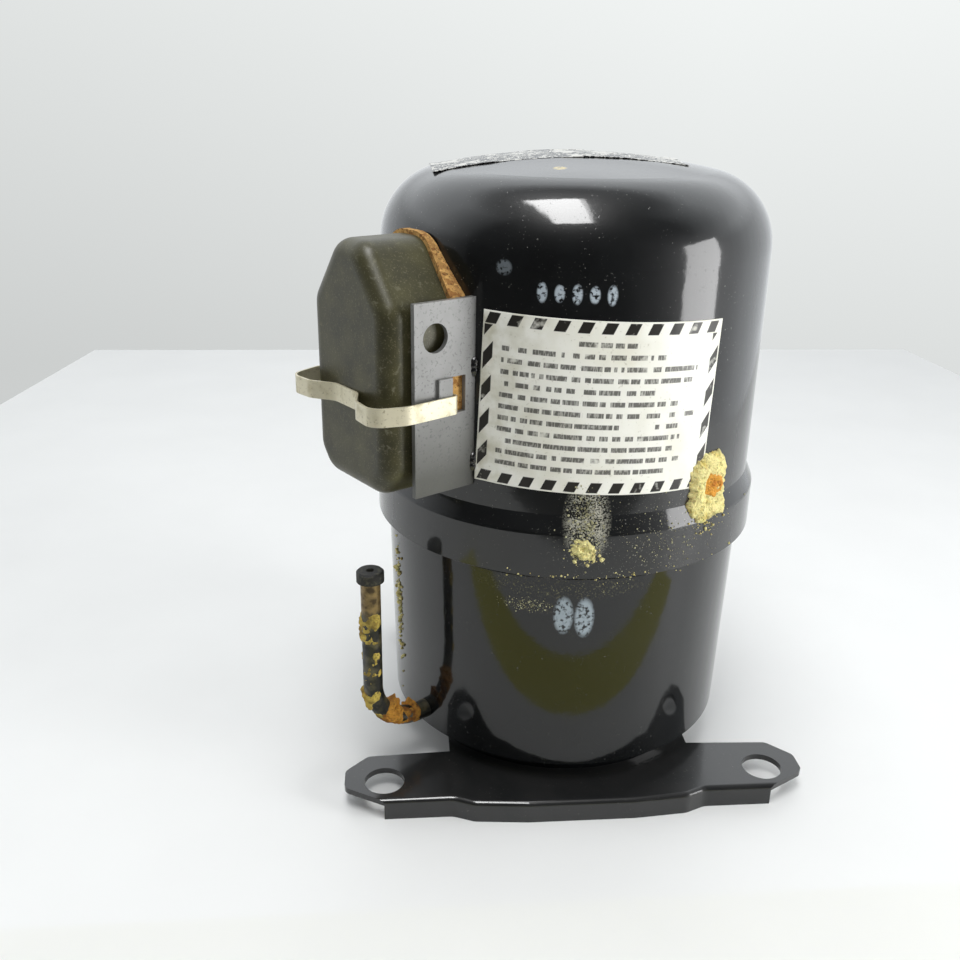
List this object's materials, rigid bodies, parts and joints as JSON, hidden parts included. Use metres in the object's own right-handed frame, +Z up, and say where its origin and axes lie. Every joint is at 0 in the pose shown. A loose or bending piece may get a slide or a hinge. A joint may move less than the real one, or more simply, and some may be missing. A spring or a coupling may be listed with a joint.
{
  "type": "hermetic reciprocating compressor",
  "caption": "Welded steel can on an eared base plate, holding a spring-hung motor and piston pump; a strapped cover shields the terminals and copper stubs carry refrigerant.",
  "frame": {"origin": "midway between the front and the rear mounting holes, on the base plate's underside; the crankshaft turns on the Z axis", "axes": "+Z up along the shell; +X along the line of the two front holes, and along the cylinder; -Y towards the side with the warning label"},
  "size_m": [0.2463, 0.2218, 0.3023],
  "materials": {
    "black_enamel": "gloss",
    "bracket_enamel": "satin",
    "moulded_cover": "satin",
    "cork": "matte",
    "label_paper": "satin",
    "foil": "worn",
    "copper": "tarnished",
    "plug_rubber": "matte",
    "plated_spring": "satin",
    "bright_steel": "satin",
    "seal_glass": "gloss",
    "phenolic": "satin",
    "cast_iron": "cast",
    "lamination": "stacked",
    "copper_winding": "varnished",
    "rotor_aluminium": "cast",
    "gasket_fibre": "matte",
    "spring_steel": "satin",
    "lead_insulation": "matte"
  },
  "bodies": {
    "housing": {"upper_shell": "black_enamel", "lower_shell": "black_enamel", "seam_weld": "black_enamel", "base_plate": "black_enamel", "terminal_bracket": "bracket_enamel", "cover_gasket": "cork", "terminal_body": "bright_steel", "terminal_glass": "seal_glass", "terminal_pins": "bright_steel", "tab_blades": "bright_steel", "overload_protector": "phenolic", "protector_clip": "spring_steel", "ground_screw": "bright_steel", "warning_label": "label_paper", "nameplate": "foil", "suction_tube": "copper", "process_tube": "copper", "discharge_tube": "copper", "spring_seats": "bright_steel", "cluster_plug": "phenolic"},
    "pump_block": {"crankcase": "cast_iron", "valve_gasket": "gasket_fibre", "valve_plate": "bright_steel", "reed_stop": "spring_steel", "head_gasket": "gasket_fibre", "cylinder_head": "cast_iron", "head_bolts": "bright_steel", "suction_muffler": "phenolic", "discharge_muffler": "bright_steel", "shock_loop": "copper", "stator_core": "lamination", "upper_winding": "copper_winding", "lower_winding": "copper_winding", "stator_bolts": "bright_steel", "suspension_springs": "spring_steel", "motor_leads": "lead_insulation"},
    "crank": {"crankshaft": "cast_iron", "counterweight": "cast_iron", "rotor_core": "lamination", "rotor_rings": "rotor_aluminium", "oil_pickup": "bright_steel", "thrust_washer": "spring_steel"},
    "slider": {"slider_block": "cast_iron"},
    "gallery": {"gallery_plug": "bright_steel"},
    "piston_yoke": {"piston": "cast_iron", "yoke_tube": "bright_steel"},
    "suction_valve": {"suction_reed": "spring_steel"},
    "discharge_valve": {"discharge_reed": "spring_steel"},
    "terminal_lid": {"terminal_cover": "moulded_cover", "bail_strap": "plated_spring"},
    "discharge_stopper": {"discharge_plug": "plug_rubber"},
    "suction_stopper": {"suction_plug": "plug_rubber"},
    "process_stopper": {"process_plug": "plug_rubber"}
  },
  "joints": [
    {"name": "suspension_bounce", "type": "slide", "parent": "housing", "child": "pump_block", "axis": [0, 0, 1], "range_m": [-0.0015, 0.002], "stiffness_N_per_m": 40000, "springref_m": 0.0031, "deforming": ["suspension_springs", "shock_loop", "motor_leads"]},
    {"name": "crank_spin", "type": "hinge", "parent": "pump_block", "child": "crank", "pos_m": [0, 0, 0.1], "axis": [0, 0, 1], "continuous": true},
    {"name": "slider_turn", "type": "hinge", "parent": "crank", "child": "slider", "pos_m": [-0.01, 0, 0.186], "axis": [0, 0, 1], "continuous": true},
    {"name": "gallery_turn", "type": "hinge", "parent": "crank", "child": "gallery", "pos_m": [-0.005, 0, 0.04], "axis": [0, 0, 1], "continuous": true},
    {"name": "piston_travel", "type": "hinge", "parent": "gallery", "child": "piston_yoke", "pos_m": [-0.01, 0, 0.186], "axis": [0, 0, 1], "continuous": true},
    {"name": "suction_reed_flex", "type": "hinge", "parent": "pump_block", "child": "suction_valve", "pos_m": [0.0606, -0.007, 0.198], "axis": [0, 1, 0], "range_deg": [0, 2], "stiffness_Nm_per_rad": 0.05},
    {"name": "discharge_reed_flex", "type": "hinge", "parent": "pump_block", "child": "discharge_valve", "pos_m": [0.065, 0.007, 0.198], "axis": [0, -1, 0], "range_deg": [0, 2], "stiffness_Nm_per_rad": 0.05},
    {"name": "cover_pull", "type": "slide", "parent": "housing", "child": "terminal_lid", "axis": [-0.8339, -0.5519, 0], "range_m": [0, 0.06], "deforming": ["bail_strap"]},
    {"name": "discharge_plug_pull", "type": "slide", "parent": "housing", "child": "discharge_stopper", "axis": [0, 0, 1], "range_m": [0, 0.035]},
    {"name": "suction_plug_pull", "type": "slide", "parent": "housing", "child": "suction_stopper", "axis": [0.4695, 0.8829, 0], "range_m": [0, 0.04]},
    {"name": "process_plug_pull", "type": "slide", "parent": "housing", "child": "process_stopper", "axis": [0.848, 0.5299, 0], "range_m": [0, 0.035]}
  ],
  "couplings": [
    {"joint": "slider_turn", "follows": "crank_spin", "ratio": -1},
    {"joint": "gallery_turn", "follows": "crank_spin", "ratio": -2},
    {"joint": "piston_travel", "follows": "crank_spin", "ratio": 1}
  ]
}
